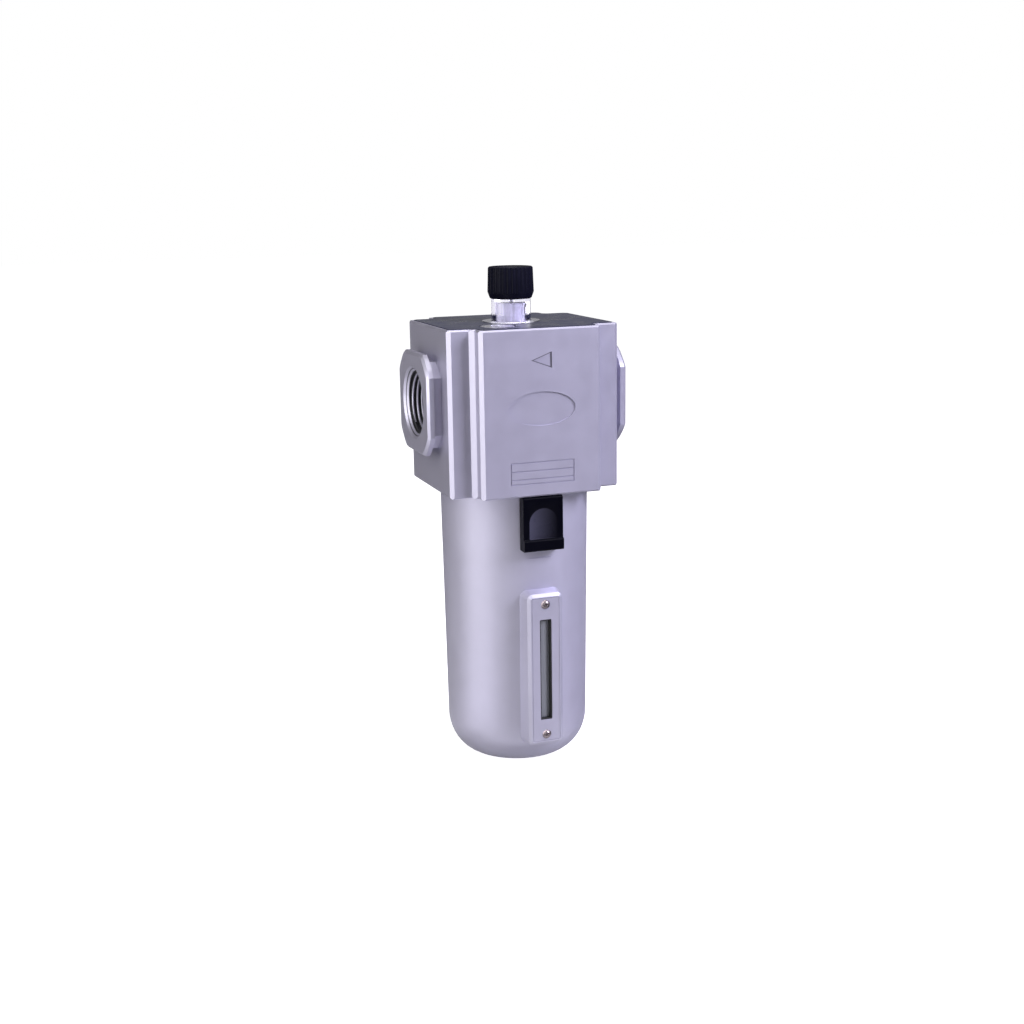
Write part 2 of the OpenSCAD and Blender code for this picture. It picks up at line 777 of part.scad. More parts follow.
module damper_flap() {
    hinge_gap = slide_gap + flap_lug_r;
    plate_top = flap_pin_rise - hinge_gap;
    plate_h_all = flap_drop - hinge_gap;
    color("darkorange") placed() translate([-flap_pin_x, 0, port_h + flap_pin_rise]) difference() {
        union() {
            translate([-flap_t / 2, 0, -hinge_gap - plate_h_all / 2]) rotate([90, 0, 90])
                linear_extrude(flap_t) round_rect(flap_w, plate_h_all, flap_corner);
            for (side = [-1, 1])
                translate([0, side * (flap_lug_w + flap_knuckle_w + 2 * slide_gap) / 2, 0]) {
                    rotate([90, 0, 0]) cylinder(h = flap_knuckle_w, r = flap_lug_r, center = true);
                    translate([0, 0, -flap_drop / 4])
                        cube([flap_t, flap_knuckle_w, flap_drop / 2], center = true);
                }
        }
        rotate([90, 0, 0]) cylinder(h = 2 * flap_w, r = flap_pin_r + seat_gap, center = true);
    }
}

module flap_pin() {
    color("silver") placed() translate([-flap_pin_x, 0, port_h + flap_pin_rise]) rotate([90, 0, 0])
        cylinder(h = flap_pin_len, r = flap_pin_r, center = true);
}

module siphon_tube() {
    tube_foot_z = filter_z + filter_h - filter_cup;
    color("white", 0.6) placed() translate([0, riser_y, tube_foot_z]) difference() {
        cylinder(h = tube_top_z - tube_foot_z, r = tube_r);
        translate([0, 0, -overrun])
            cylinder(h = tube_top_z - tube_foot_z + 2 * overrun, r = tube_bore_r);
    }
}

module siphon_filter() {
    color("peru") placed() translate([0, riser_y, filter_z]) difference() {
        cylinder(h = filter_h, r = filter_r);
        translate([0, 0, filter_h - filter_cup])
            cylinder(h = filter_cup + overrun, r = tube_r + seat_gap);
        translate([0, 0, filter_cup / 2]) cylinder(h = filter_h, r = tube_bore_r);
    }
}

module check_ball() {
    color("silver") placed() translate([0, riser_y, ball_z]) sphere(ball_r);
}

// Points down the bowl's side, round its corner and over its crown, drawn in by a wall
function bowl_side(inset, top_z) = concat(
    [[bowl_r - inset, top_z], [bowl_low_r - inset, bottom_rise + bottom_crown - bowl_depth]],
    [for (i = [1 : corner_steps]) [
        bowl_low_r - bottom_run + (bottom_run - inset) * cos(i * 90 / corner_steps),
        bottom_rise + bottom_crown - bowl_depth - (bottom_rise - inset) * sin(i * 90 / corner_steps)
    ]],
    [for (i = [1 : crown_steps]) [
        (bowl_low_r - bottom_run) * (1 - i / crown_steps),
        bottom_crown / 2 * (1 + cos(i * 180 / crown_steps)) - bowl_depth + inset
    ]]
);

// The turned shell: neck, shoulder, side and bottom, one wall thick
module bowl_shell() {
    ceiling_z = bowl_wall + bowl_shoulder_w + neck_wall - neck_blend + neck_bore_r - bowl_r;
    outer = bowl_side(0, -bowl_gap);
    inner = bowl_side(bowl_wall, -neck_blend);
    inner_up = [for (i = [len(inner) - 1 : -1 : 0]) inner[i]];
    rotate_extrude() polygon(concat(
        [[neck_bore_r, neck_top_z], [neck_r, neck_top_z], [neck_r, -bowl_gap]],
        outer, inner_up, [[neck_bore_r, ceiling_z]]
    ));
}

// The pad's body, drafted on all sides, from inside the bowl's wall out to its front face
module pad_block() {
    span = pad_front_y - pad_back_y;
    hull() {
        pad_layer(pad_back_y, span * pad_draft_share);
        pad_layer(pad_front_y - pad_edge, pad_edge * pad_draft_share);
        pad_layer(pad_front_y - pad_skin, -pad_edge);
    }
}

// A thin layer of the pad at a distance from the axis, drawn out from its front outline
module pad_layer(y, out) {
    gauge_slab(y, y + pad_skin)
        round_rect(pad_w + 2 * out, pad_h + 2 * out, pad_corner + out, $fn = cord_sides);
}

// A flat piece of the gauge, drawn in the front view, between two distances from the axis
module gauge_slab(back_y, front_y) {
    translate([0, 0, -gauge_drop]) facing_front() translate([0, 0, back_y])
        linear_extrude(front_y - back_y) children();
}

// The rail that carries the lock button
module lock_rail() {
    translate([0, 0, -rail_drop - rail_h]) {
        translate([-rail_stem_w / 2, -land_y - rail_stem_t - overrun, 0])
            cube([rail_stem_w, rail_stem_t + 2 * overrun, rail_h]);
        translate([-rail_head_w / 2, -land_y - rail_stem_t - rail_head_t, 0])
            cube([rail_head_w, rail_head_t, rail_h]);
    }
}

module bowl() {
    color("lightsteelblue") placed() difference() {
        union() {
            difference() {
                union() {
                    bowl_shell();
                    pad_block();
                }
                translate([-bowl_r / 2, -bowl_r - overrun, -land_h])
                    cube([bowl_r, bowl_r + overrun - land_y, land_h - bowl_gap + overrun]);
            }
            for (i = [0 : lug_count - 1]) translate([0, 0, lip_h + slide_gap]) intersection() {
                difference() {
                    cylinder(h = lug_h, r = lug_r);
                    translate([0, 0, -overrun])
                        cylinder(h = lug_h + 2 * overrun, r = neck_r - neck_wall / 2);
                }
                translate([0, 0, -overrun])
                    slice(2 * lug_r, lug_h + 2 * overrun, i * 360 / lug_count, lug_angle);
            }
            lock_rail();
        }
        translate([0, 0, bowl_seal_z - groove_w / 2]) difference() {
            cylinder(h = groove_w, r = 2 * neck_r);
            translate([0, 0, -overrun]) cylinder(h = groove_w + 2 * overrun, r = groove_r);
        }
        gauge_slab(glass_front_y, pad_front_y + overrun) round_rect(plate_w, plate_h, plate_corner);
        gauge_slab(pocket_y, pad_front_y) round_rect(glass_w + 2 * seat_gap, glass_h + 2 * seat_gap,
            window_corner + glass_rim);
        gauge_slab(pad_back_y - bowl_wall, pad_front_y) round_rect(window_w, window_h, window_corner);
        for (end = [-1, 1]) translate([0, 0, end * screw_span / 2 - gauge_drop]) facing_front()
            translate([0, 0, pad_front_y - screw_len]) cylinder(h = screw_len, r = screw_r + seat_gap);
    }
}

module bowl_seal() {
    color("black") placed() translate([0, 0, bowl_seal_z]) cord_ring(bowl_seal_r, bowl_seal_cord_r);
}

// Side view of the lock button, from its back to its front, with the lip at its lower end
module button_side() {
    top = -button_top_gap;
    low = top - button_h;
    lip_z = low + button_lip_h;
    lip_y = button_front_y + button_lip_reach;
    polygon([
        [-button_back_y, top], [-button_back_y, low],
        [-lip_y + button_edge, low], [-lip_y, low + button_edge],
        [-lip_y, lip_z - button_edge], [-lip_y + button_edge, lip_z], [-button_front_y, lip_z],
        [-button_front_y, top - button_edge], [-button_front_y + button_edge, top]
    ]);
}

// The slot in the button's back that slides on the rail
module button_slot() {
    roof_z = -button_top_gap - slot_roof;
    low = -button_top_gap - button_h - overrun;
    stem_y = land_y + rail_stem_t - slide_gap;
    translate([-rail_stem_w / 2 - slide_gap, -stem_y - overrun, low])
        cube([rail_stem_w + 2 * slide_gap, stem_y + overrun - button_back_y + overrun, roof_z - low]);
    translate([-rail_head_w / 2 - slide_gap, -stem_y - rail_head_t - 2 * slide_gap, low])
        cube([rail_head_w + 2 * slide_gap, rail_head_t + 2 * slide_gap, roof_z - low]);
}

// The thumb's dish above the lip
module button_dish() {
    centre_y = button_front_y - dish_depth + dish_sphere_r;
    lip_z = button_lip_h - button_h - button_top_gap;
    translate([0, -centre_y, -dish_drop]) sphere(dish_sphere_r);
    translate([0, -centre_y, lip_z]) cylinder(h = -dish_drop - lip_z, r = dish_sphere_r);
}

module lock_button() {
    lip_z = button_lip_h - button_h - button_top_gap;
    color("black") placed() difference() {
        union() {
            difference() {
                intersection() {
                    translate([-button_w / 2, 0, 0]) rotate([90, 0, 90])
                        linear_extrude(button_w) button_side();
                    translate([0, -button_back_y - button_w / 2 + button_edge, -2 * button_h])
                        linear_extrude(2 * button_h)
                            cut_rect(button_w, button_w + 2 * button_edge, button_edge);
                }
                intersection() {
                    button_dish();
                    translate([-button_w, -2 * button_front_y, lip_z])
                        cube([2 * button_w, 2 * button_front_y, button_h]);
                }
            }
            translate([-tongue_w / 2, -button_back_y - tongue_in - tongue_t, -button_top_gap - overrun])
                cube([tongue_w, tongue_t, tongue_rise + button_top_gap + overrun]);
        }
        button_slot();
    }
}

// A helix of round wire; each ring of the wire stands square to the axis' plane
module wire_helix(r, wire, h, turns) {
    steps = turns * spring_steps;
    points = [for (i = [0 : steps], j = [0 : spring_sides - 1])
        let (a = i * 360 / spring_steps, b = j * 360 / spring_sides, out = r + wire * cos(b))
        [out * cos(a), out * sin(a), h * i / steps + wire * sin(b)]];
    sides = [for (i = [0 : steps - 1], j = [0 : spring_sides - 1])
        let (k = (j + 1) % spring_sides, low = i * spring_sides, high = low + spring_sides)
        [low + j, low + k, high + k, high + j]];
    caps = [[for (j = [spring_sides - 1 : -1 : 0]) j],
        [for (j = [0 : spring_sides - 1]) steps * spring_sides + j]];
    polyhedron(points, concat(sides, caps));
}

module lock_spring() {
    foot_z = -rail_drop + spring_wire_r + spring_gap;
    head_z = -button_top_gap - slot_roof - spring_wire_r - spring_gap;
    color("silver") placed() translate([0, -land_y - rail_stem_t - rail_head_t / 2, foot_z])
        wire_helix(spring_r, spring_wire_r, head_z - foot_z, spring_turns);
}

module gauge_plate() {
    color("silver") placed() difference() {
        gauge_slab(glass_front_y + seat_gap, pad_front_y)
            round_rect(plate_w - 2 * cover_gap, plate_h - 2 * cover_gap, plate_corner - cover_gap);
        gauge_slab(pad_back_y, pad_front_y + overrun) round_rect(window_w, window_h, window_corner);
        for (end = [-1, 1]) translate([0, 0, end * screw_span / 2 - gauge_drop]) facing_front()
            translate([0, 0, pad_back_y]) cylinder(h = pad_front_y, r = screw_r + seat_gap);
    }
}

module gauge_glass() {
    crown_r = (pow(window_w / 2 - seat_gap, 2) + glass_crown * glass_crown) / (2 * glass_crown);
    color("slategray", 0.6) placed() union() {
        gauge_slab(gasket_front_y, glass_front_y)
            round_rect(glass_w, glass_h, window_corner + glass_rim);
        intersection() {
            gauge_slab(gasket_front_y, pad_front_y)
                round_rect(window_w - 2 * seat_gap, window_h - 2 * seat_gap, window_corner);
            translate([0, crown_r - glass_front_y - glass_crown, -gauge_drop])
                cylinder(h = window_h, r = crown_r, center = true);
        }
    }
}

module gauge_gasket() {
    color("black") placed() difference() {
        gauge_slab(pocket_y, gasket_front_y) round_rect(glass_w, glass_h, window_corner + glass_rim);
        gauge_slab(pad_back_y, pad_front_y) round_rect(window_w, window_h, window_corner);
    }
}

// One pan-head screw of the gauge, at the window's upper (1) or lower (-1) end
module gauge_screw(end) {
    cap_r = (screw_head_r * screw_head_r + screw_head_t * screw_head_t) / (2 * screw_head_t);
    color("gainsboro") placed() translate([0, 0, end * screw_span / 2 - gauge_drop]) facing_front()
        translate([0, 0, pad_front_y]) difference() {
            union() {
                intersection() {
                    cylinder(h = screw_head_t, r = screw_head_r);
                    translate([0, 0, screw_head_t - cap_r]) sphere(cap_r);
                }
                translate([0, 0, -screw_len]) cylinder(h = screw_len + screw_head_t / 2, r = screw_r);
            }
            translate([0, 0, screw_head_t]) cube([2 * screw_head_r + overrun, screw_slot_w,
                2 * screw_slot_depth], center = true);
        }
}

module upper_gauge_screw() {
    gauge_screw(1);
}

module lower_gauge_screw() {
    gauge_screw(-1);
}

body();
top_cover();
dome_ring();
sight_dome();
dome_seal();
drip_core();
drip_nozzle();
knob();
needle();
needle_seal();
filler_plug();
filler_seal();
venturi_post();
damper_flap();
flap_pin();
siphon_tube();
siphon_filter();
check_ball();
bowl();
bowl_seal();
lock_button();
lock_spring();
gauge_plate();
gauge_glass();
gauge_gasket();
upper_gauge_screw();
lower_gauge_screw();
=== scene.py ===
import math

import bpy
from mathutils import Matrix, Vector


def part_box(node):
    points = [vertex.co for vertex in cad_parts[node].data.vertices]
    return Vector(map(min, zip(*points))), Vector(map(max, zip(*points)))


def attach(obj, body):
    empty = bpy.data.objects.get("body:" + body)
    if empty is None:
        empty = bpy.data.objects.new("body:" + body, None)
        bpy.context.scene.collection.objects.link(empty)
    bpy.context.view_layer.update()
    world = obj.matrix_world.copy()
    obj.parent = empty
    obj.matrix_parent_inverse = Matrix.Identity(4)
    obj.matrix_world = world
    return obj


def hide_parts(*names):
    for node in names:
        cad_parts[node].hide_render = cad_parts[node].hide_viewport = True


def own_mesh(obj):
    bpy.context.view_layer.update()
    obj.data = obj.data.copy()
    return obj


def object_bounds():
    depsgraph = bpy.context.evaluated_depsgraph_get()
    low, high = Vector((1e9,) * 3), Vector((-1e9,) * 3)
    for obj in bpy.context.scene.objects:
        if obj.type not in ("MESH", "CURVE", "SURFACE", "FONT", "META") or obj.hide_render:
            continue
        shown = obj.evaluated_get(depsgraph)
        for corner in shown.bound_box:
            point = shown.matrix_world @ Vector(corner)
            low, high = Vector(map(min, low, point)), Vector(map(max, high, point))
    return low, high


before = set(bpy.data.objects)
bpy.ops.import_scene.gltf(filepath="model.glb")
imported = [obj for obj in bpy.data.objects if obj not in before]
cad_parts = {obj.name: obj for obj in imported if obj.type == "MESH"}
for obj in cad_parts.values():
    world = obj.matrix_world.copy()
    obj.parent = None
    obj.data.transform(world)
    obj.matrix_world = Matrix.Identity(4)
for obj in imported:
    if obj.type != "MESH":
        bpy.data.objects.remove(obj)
cad_low, cad_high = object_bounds()

MM = 0.001

# The bowl's axis, the ports' faces and the body's underside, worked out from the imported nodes
bowl_low, bowl_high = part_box("bowl_seal")
body_low, body_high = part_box("body")
AXIS_X = (bowl_low.x + bowl_high.x) / 2
PORT_FACES = (body_low.x, body_high.x)
UNDERSIDE = body_low.z

# The photograph's camera: azimuth, elevation and roll in degrees, the point that it looks at, from the
# bowl's axis and the body's underside, the distance, the focal length and the frame in pixels, and the
# sensor in millimetres
VIEW_AZIMUTH = -19.61
VIEW_ELEVATION = 12.54
VIEW_ROLL = -0.92
VIEW_TARGET = Vector((-1.13, 0, -16.18)) * MM
VIEW_DISTANCE = 733.4 * MM
FOCAL_PIXELS = 1447.07
FRAME_PIXELS = 1024
SENSOR = 36

# The ports' thread: its pitch, the bore's radius and length, the ridge's height, foot, crest and seat in
# the wall, a turn's steps, the steps that an end tapers over, and the angle in degrees where it starts
THREAD_PITCH = 2.309 * MM
THREAD_BORE_R = 15.15 * MM
THREAD_LENGTH = 16.5 * MM
THREAD_HEIGHT = 0.75 * MM
THREAD_FOOT = 1.9 * MM
THREAD_CREST = 0.5 * MM
THREAD_SEAT = 0.06 * MM
THREAD_STEPS = 72
THREAD_TAPER = THREAD_STEPS // 3
THREAD_START = -120

# The depth of the port's mouth in front of its thread, and the bands of painted shade round the port's
# axis,
# each from a low to a high radius: in the thread's roots, and a shadow line on the mouth's first turn
PORT_MOUTH = 2.5 * MM
ROOT_LOW_R = 14.7 * MM
ROOT_HIGH_R = 15.45 * MM
RING_LOW_R = 16.2 * MM
RING_HIGH_R = 16.65 * MM

# The lock button's dish: its radius and depth, how far behind the face its painted highlight starts, its
# top and its low end under the body, and how far the button's lip stands out from the face
DISH_R = 7.4 * MM
DISH_DEPTH = 1.4 * MM
DISH_SKIN = 0.04 * MM
DISH_TOP = 5 * MM
DISH_LOW = 21.5 * MM
LIP_REACH = 1.2 * MM

# The line of painted shade on the flow arrow's sunken floor: how far the arrow's tip and tail and half
# its tail's height lie from its middle, how high that is over the body's underside, how deep the arrow is
# sunk, and the line's gap, width and thickness
ARROW_TIP = 5.4 * MM
ARROW_TAIL = 5.2 * MM
ARROW_HALF = 3.9 * MM
ARROW_UP = 65.1 * MM
ARROW_DEPTH = 0.7 * MM
LINE_GAP = 0.03 * MM
LINE_W = 0.5 * MM
LINE_T = 0.1 * MM

# The black liner in the gauge's window, a painted shade round the glass's edges: the window's size, and
# the liner's gap, wall and set-back
WINDOW_W = 6.1 * MM
WINDOW_H = 51.4 * MM
LINER_GAP = 0.03 * MM
LINER_WALL = 0.55 * MM
LINER_SET = 0.5 * MM

# The lock spring: its coil's and its wire's radius, its turns, a turn's steps and the wire's sides
COIL_R = 0.7 * MM
WIRE_R = 0.22 * MM
COIL_TURNS = 7
COIL_STEPS = 24
WIRE_SIDES = 8

# Where noise mostly lies between its least and its most
NOISE_SPAN = (0.3, 0.7)

# The finishes' noise: how wide its blotches are and, where it is a bump, how deep it goes
CAST_GRAIN = 0.5 * MM
CAST_GRAIN_DEPTH = 0.015 * MM
CAST_MOTTLE = 9 * MM
CAST_WAVE = 22 * MM
CAST_WAVE_DEPTH = 0.12 * MM
TOOL_MARKS = 0.3 * MM
TOOL_MARKS_DEPTH = 0.01 * MM
MOULD_SKIN = 0.35 * MM
MOULD_SKIN_DEPTH = 0.01 * MM
MOULD_CLOUD = 7 * MM
FLOW_LINES = 1.6 * MM
FLOW_LINES_DEPTH = 0.03 * MM

# How the coordinates are scaled along the axes, so that tool marks run level and flow lines upright
TOOL_STRETCH = (0.15, 0.15, 1)
FLOW_STRETCH = (1, 1, 0.15)

# How metallic the cast paint is, the clear plastic's refraction, how far the cast paint's roughness goes
# down and up, and the least and the most that the other finishes' roughness goes to, as shares of it
CAST_METAL = 0.5
CLEAR_IOR = 1.49
CAST_ROUGH_SHIFT = (-0.02, 0.025)
ROUGH_SPAN = (0.85, 1.2)
CLEAR_ROUGH_SPAN = (0.7, 1.4)

# Small round edges: the least corner in degrees that gets one, and its segments; then the gap that is
# welded and the bend in degrees that counts as flat before them
EDGE_ANGLE = 30
EDGE_SEGMENTS = 2
WELD_GAP = 0.001 * MM
FLAT_ANGLE = 0.2

# Colours of the finishes and of the patches on them, linear; the patches are painted shade and a painted
# highlight
SILVER = (0.47, 0.455, 0.57)
BOWL_SILVER = (0.452, 0.439, 0.55)
BRIGHT = (0.72, 0.71, 0.80)
STEEL = (0.42, 0.42, 0.45)
BLACK = (0.0015, 0.0015, 0.004)
# Painted shade in the ports' thread roots
ROOT_SHADE = (0.02, 0.02, 0.024)
KNOB = (0.005, 0.005, 0.012)
# Painted highlight in the lock button's dish
DISH_HIGHLIGHT = (0.05, 0.049, 0.075)
NOZZLE = (0.04, 0.04, 0.06)
# Painted shadow line on the first turn of the ports' mouths, where the thread starts
MOUTH_SHADE = (0.13, 0.125, 0.16)
# Painted shade along the walls of the flow arrow's sunken floor
ARROW_SHADE = (0.2, 0.195, 0.24)
SCREW = (0.26, 0.22, 0.24)
COVER = (0.012, 0.013, 0.042)
WHITE = (0.80, 0.79, 0.88)
RUBBER = (0.015, 0.015, 0.016)
BRONZE = (0.30, 0.19, 0.09)
CLEAR = (0.87, 0.855, 0.97)
SMOKE = (0.30, 0.31, 0.34)
NYLON = (0.8, 0.82, 0.85)

# The floor: its colour, half its side in metres, its glow near and far, and the radii between which that
# changes; then the world's fill light
FLOOR = (0.8, 0.8, 0.8)
FLOOR_HALF = 6.0
GLOW_NEAR = 0.88
GLOW_FAR = 1.0
GLOW_NEAR_R = 0.15
GLOW_FAR_R = 0.8
FILL = 0.02

# The lamps: azimuth, elevation and distance from the camera's target, width and height, watts and tint
KEY_TINT = (0.85, 0.835, 1)
LEFT_TINT = (1, 0.99, 0.96)
LAMPS = {
    "key_right": ((45, 32, 1.1), (0.5, 0.5), 17.6, KEY_TINT),
    "high_left": ((-60, 45, 1.1), (0.5, 0.5), 3.4, LEFT_TINT),
    "strip_left": ((-76, 12, 1.1), (0.5, 0.8), 3.1, LEFT_TINT),
    "edge_left": ((-96, 12, 1.1), (0.35, 0.8), 2.5, LEFT_TINT),
    "top": ((10, 80, 1.0), (0.4, 0.4), 2.0, LEFT_TINT),
    "rear": ((128, 8, 1.1), (0.4, 0.8), 1.8, LEFT_TINT),
}

# The cards that reflections show: their colour, their height over the floor, and a fan's step in degrees
CARD = (0.02, 0.02, 0.02)
CARD_LIFT = 1 * MM
CARD_STEP = 2

# The cards that lie over the floor: inner and outer radius, the azimuths that each fan spans, and the
# shade, from 0 for black to 1 for white
TABLE_CARDS = {
    "card_table_under": (0.022, 0.042, [(0, 360)], 0.35),
    "card_table_foot": (0.042, 0.07, [(-60, 46)], 1.0),
    "card_table_side": (0.042, 0.07, [(46, 200)], 0.25),
    "card_table_rear": (0.042, 0.07, [(200, 300)], 0.6),
    "card_table_near": (0.07, 0.16, [(-36, 60)], 0.5),
    "card_table_front": (0.16, 0.42, [(-36, 60)], 0.5),
    "card_table_edge": (0.07, 0.42, [(-52, -36), (248, 264)], 0.7),
    "card_table_left": (0.07, 0.42, [(200, 248)], 0.4),
    "card_table_right": (0.07, 0.42, [(60, 200)], 0.04),
    "card_table_mid": (0.42, 0.68, [(-52, 60)], 0.02),
    "card_table_away": (0.68, 1.6, [(-52, 60)], 0.14),
    "card_table_far": (0.42, 1.6, [(60, 264)], 0.03),
}

# The cards that stand: azimuth, elevation and distance from the camera's target, width and height, and
# the shade
STANDING_CARDS = {
    "card_left": ((-145, 8, 1.6), (2.2, 2.4), 0.0),
    "card_back": ((160, 25, 1.8), (2.4, 1.3), 0.3),
    "card_right": ((112, 0, 0.9), (1.3, 1.6), 0.0),
    "card_front": ((20, -2, 0.8), (0.9, 0.7), 0.0),
}


def new_material(name):
    """A material with an empty Principled shader; returns the material, its nodes, links and shader."""
    material = bpy.data.materials.new(name)
    material.use_nodes = True
    nodes = material.node_tree.nodes
    return material, nodes, material.node_tree.links, nodes["Principled BSDF"]


def set_inputs(shader, **values):
    """Sets a shader's sockets by name; an underscore in a name stands for a space."""
    for name, value in values.items():
        if isinstance(value, tuple):
            value = (*value, 1.0)
        shader.inputs[name.replace("_", " ")].default_value = value


def object_coordinates(nodes, links, stretch=(1, 1, 1)):
    """The piece's own coordinates in metres, stretched along the axes."""
    coordinates = nodes.new("ShaderNodeTexCoord")
    mapping = nodes.new("ShaderNodeMapping")
    mapping.inputs["Scale"].default_value = stretch
    links.new(coordinates.outputs["Object"], mapping.inputs["Vector"])
    return mapping.outputs["Vector"]


def noise(nodes, links, vector, grain, detail):
    """Noise whose blotches are about grain metres across."""
    texture = nodes.new("ShaderNodeTexNoise")
    texture.inputs["Scale"].default_value = 1 / grain
    texture.inputs["Detail"].default_value = detail
    links.new(vector, texture.inputs["Vector"])
    return texture.outputs["Fac"]


def spread(nodes, links, value, low, high):
    """Maps noise to the range from low to high."""
    remap = nodes.new("ShaderNodeMapRange")
    remap.inputs["From Min"].default_value, remap.inputs["From Max"].default_value = NOISE_SPAN
    remap.inputs["To Min"].default_value = low
    remap.inputs["To Max"].default_value = high
    links.new(value, remap.inputs["Value"])
    return remap.outputs["Result"]


def rough_variation(nodes, links, shader, rough, value, span=ROUGH_SPAN):
    """Varies the roughness between two shares of it."""
    low, high = span
    links.new(spread(nodes, links, value, rough * low, rough * high), shader.inputs["Roughness"])


def shade_variation(nodes, links, shader, color, value, depth):
    """Varies the base colour by a share of its lightness."""
    mix = nodes.new("ShaderNodeMix")
    mix.data_type = "RGBA"
    mix.inputs["A"].default_value = (*[c * (1 - depth) for c in color], 1)
    mix.inputs["B"].default_value = (*[min(c * (1 + depth), 1) for c in color], 1)
    links.new(value, mix.inputs["Factor"])
    links.new(mix.outputs["Result"], shader.inputs["Base Color"])


def bump(nodes, links, shader, heights):
    """Chains bumps; heights lists each height's socket with its depth in metres and its strength."""
    normal = None
    for height, depth, strength in heights:
        node = nodes.new("ShaderNodeBump")
        node.inputs["Distance"].default_value = depth
        node.inputs["Strength"].default_value = strength
        links.new(height, node.inputs["Height"])
        if normal:
            links.new(normal, node.inputs["Normal"])
        normal = node.outputs["Normal"]
    links.new(normal, shader.inputs["Normal"])


def within(nodes, links, value, low, high):
    """One where the value lies between two bounds, and zero elsewhere."""
    inside = nodes.new("ShaderNodeMath")
    inside.operation = "COMPARE"
    inside.inputs[1].default_value = (low + high) / 2
    inside.inputs[2].default_value = (high - low) / 2
    links.new(value, inside.inputs[0])
    return inside.outputs["Value"]


def port_ring(nodes, links, low, high):
    """One between two radii round the ports' axis, and zero elsewhere."""
    radius = nodes.new("ShaderNodeVectorMath")
    radius.operation = "LENGTH"
    links.new(object_coordinates(nodes, links, (0, 1, 1)), radius.inputs[0])
    return within(nodes, links, radius.outputs["Value"], low, high)


def dish_highlight_mask(nodes, links):
    """A painted highlight's mask: one at the left of the lock button's dish, less to its right, and zero
    outside it.
    """
    face_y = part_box("lock_button")[0].y + LIP_REACH
    bounds = [(AXIS_X - DISH_R, AXIS_X + DISH_R), (face_y + DISH_SKIN, face_y + DISH_DEPTH),
              (UNDERSIDE - DISH_LOW, UNDERSIDE - DISH_TOP)]
    parts = nodes.new("ShaderNodeSeparateXYZ")
    links.new(object_coordinates(nodes, links), parts.inputs[0])
    fade = nodes.new("ShaderNodeMapRange")
    fade.inputs["From Min"].default_value, fade.inputs["From Max"].default_value = bounds[0]
    fade.inputs["To Min"].default_value, fade.inputs["To Max"].default_value = 1.0, 0.0
    links.new(parts.outputs["X"], fade.inputs["Value"])
    total = fade.outputs["Result"]
    for axis, (low, high) in zip("XYZ", bounds):
        both = nodes.new("ShaderNodeMath")
        both.operation = "MULTIPLY"
        links.new(total, both.inputs[0])
        links.new(within(nodes, links, parts.outputs[axis], low, high), both.inputs[1])
        total = both.outputs["Value"]
    return total


def patch_color(nodes, links, shader, color, mask):
    """Gives the base colour another colour where the mask is one."""
    paint = shader.inputs["Base Color"].links[0].from_socket
    mix = nodes.new("ShaderNodeMix")
    mix.data_type = "RGBA"
    links.new(paint, mix.inputs["A"])
    mix.inputs["B"].default_value = (*color, 1)
    links.new(mask, mix.inputs["Factor"])
    links.new(mix.outputs["Result"], shader.inputs["Base Color"])


def cast_silver(name, color, rough=0.33, port_shaded=False):
    """Silver paint over a casting: fine grain, slow unevenness and a slight mottle."""
    material, nodes, links, shader = new_material(name)
    vector = object_coordinates(nodes, links)
    grain = noise(nodes, links, vector, CAST_GRAIN, detail=2.0)
    mottle = noise(nodes, links, vector, CAST_MOTTLE, detail=4.0)
    wave = noise(nodes, links, vector, CAST_WAVE, detail=1.0)
    low, high = CAST_ROUGH_SHIFT
    set_inputs(shader, Metallic=CAST_METAL, Specular_IOR_Level=0.5)
    shade_variation(nodes, links, shader, color, spread(nodes, links, mottle, 0.0, 1.0), depth=0.02)
    links.new(spread(nodes, links, mottle, rough + low, rough + high), shader.inputs["Roughness"])
    bump(nodes, links, shader, [(grain, CAST_GRAIN_DEPTH, 0.5), (wave, CAST_WAVE_DEPTH, 0.2)])
    # Painted shade in the ports' thread roots and a painted shadow line on the first turn of their mouths
    if port_shaded:
        patch_color(nodes, links, shader, ROOT_SHADE, port_ring(nodes, links, ROOT_LOW_R, ROOT_HIGH_R))
        patch_color(nodes, links, shader, MOUTH_SHADE, port_ring(nodes, links, RING_LOW_R, RING_HIGH_R))
    return material


def turned_metal(name, color, rough):
    """Turned metal: fine tool marks that run level round the piece."""
    material, nodes, links, shader = new_material(name)
    vector = object_coordinates(nodes, links, TOOL_STRETCH)
    marks = noise(nodes, links, vector, TOOL_MARKS, detail=2.0)
    set_inputs(shader, Metallic=1.0)
    shade_variation(nodes, links, shader, color, spread(nodes, links, marks, 0.0, 1.0), depth=0.05)
    rough_variation(nodes, links, shader, rough, marks)
    bump(nodes, links, shader, [(marks, TOOL_MARKS_DEPTH, 0.25)])
    return material


def moulded(name, color, rough, sheen=0.5, dish_highlight=False):
    """Moulded plastic or rubber: a fine skin, with slow changes of gloss."""
    material, nodes, links, shader = new_material(name)
    vector = object_coordinates(nodes, links)
    skin = noise(nodes, links, vector, MOULD_SKIN, detail=2.0)
    cloud = noise(nodes, links, vector, MOULD_CLOUD, detail=3.0)
    set_inputs(shader, Specular_IOR_Level=sheen)
    shade_variation(nodes, links, shader, color, spread(nodes, links, cloud, 0.0, 1.0), depth=0.12)
    rough_variation(nodes, links, shader, rough, cloud)
    bump(nodes, links, shader, [(skin, MOULD_SKIN_DEPTH, 0.5)])
    if dish_highlight:
        # Painted highlight, lighter at the left of the button's dish and fading to its right
        patch_color(nodes, links, shader, DISH_HIGHLIGHT, dish_highlight_mask(nodes, links))
    return material


